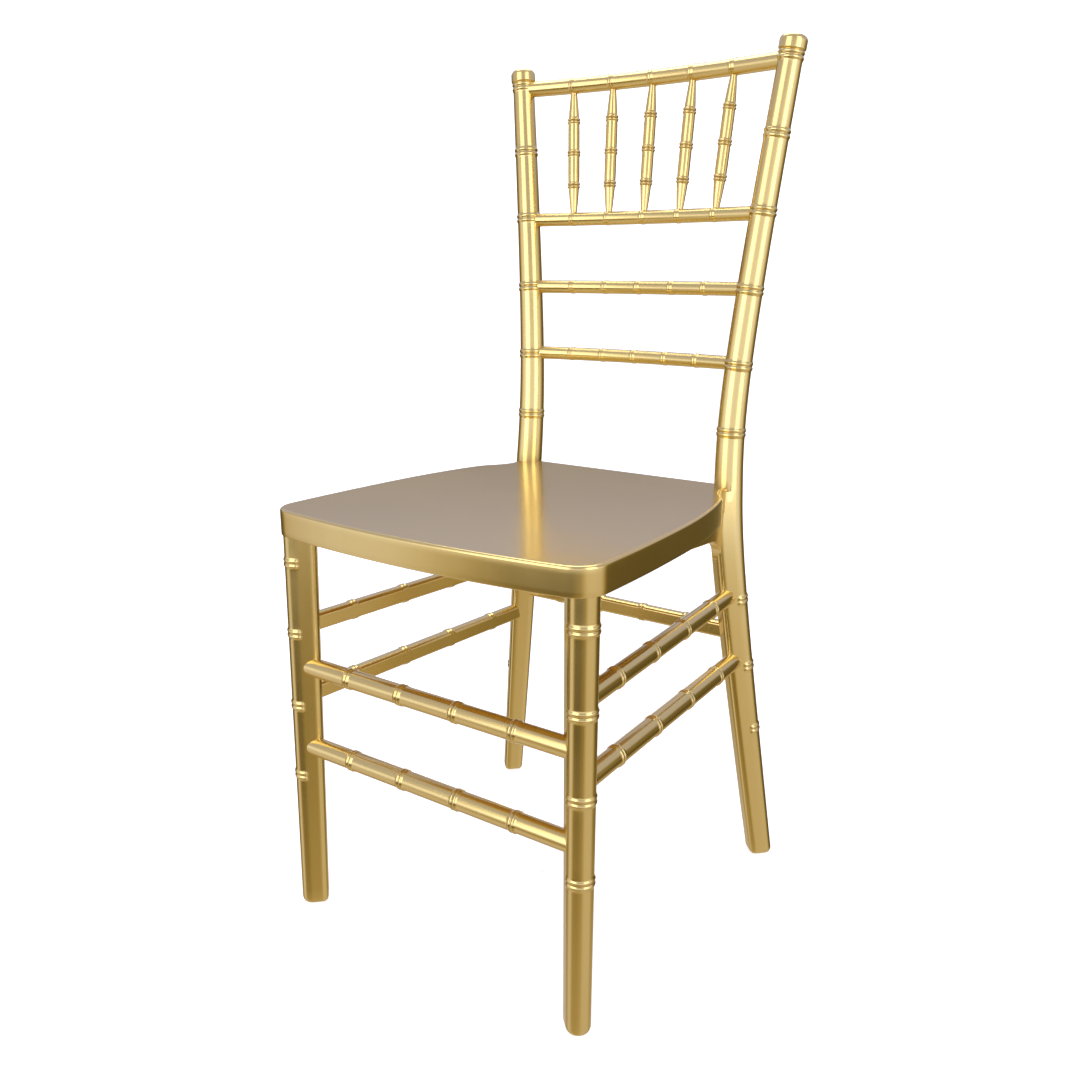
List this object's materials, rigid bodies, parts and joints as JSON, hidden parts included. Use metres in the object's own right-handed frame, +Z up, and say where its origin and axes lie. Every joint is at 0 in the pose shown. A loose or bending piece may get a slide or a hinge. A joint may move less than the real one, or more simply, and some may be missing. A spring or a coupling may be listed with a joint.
{
  "type": "chiavari chair",
  "caption": "Chiavari side chair with splayed bamboo-look legs, bowed slim back rails, turned spindles and a flat waisted seat with a rounded front.",
  "frame": {"origin": "on the floor, under the middle of the chair's bounding box", "axes": "+Z up, -Y to the front of the chair, +X to the right as seen from the front"},
  "size_m": [0.4018, 0.4425, 0.915],
  "materials": {
    "gold_resin": "metallic gold, satin to gloss",
    "glide_nylon": "matte"
  },
  "bodies": {
    "root": {"seat": "gold_resin", "front_leg_right": "gold_resin", "front_leg_left": "gold_resin", "rear_post_right": "gold_resin", "rear_post_left": "gold_resin", "crest_rail": "gold_resin", "back_rail_upper": "gold_resin", "back_rail_middle": "gold_resin", "back_rail_lower": "gold_resin", "spindle_1": "gold_resin", "spindle_2": "gold_resin", "spindle_3": "gold_resin", "spindle_4": "gold_resin", "spindle_5": "gold_resin", "front_stretcher_upper": "gold_resin", "front_stretcher_lower": "gold_resin", "rear_stretcher": "gold_resin", "side_stretcher_right_upper": "gold_resin", "side_stretcher_right_lower": "gold_resin", "side_stretcher_left_upper": "gold_resin", "side_stretcher_left_lower": "gold_resin", "rear_gusset_right": "gold_resin", "rear_gusset_left": "gold_resin", "glide_front_right": "glide_nylon", "glide_front_left": "glide_nylon", "glide_rear_right": "glide_nylon", "glide_rear_left": "glide_nylon"}
  },
  "joints": []
}
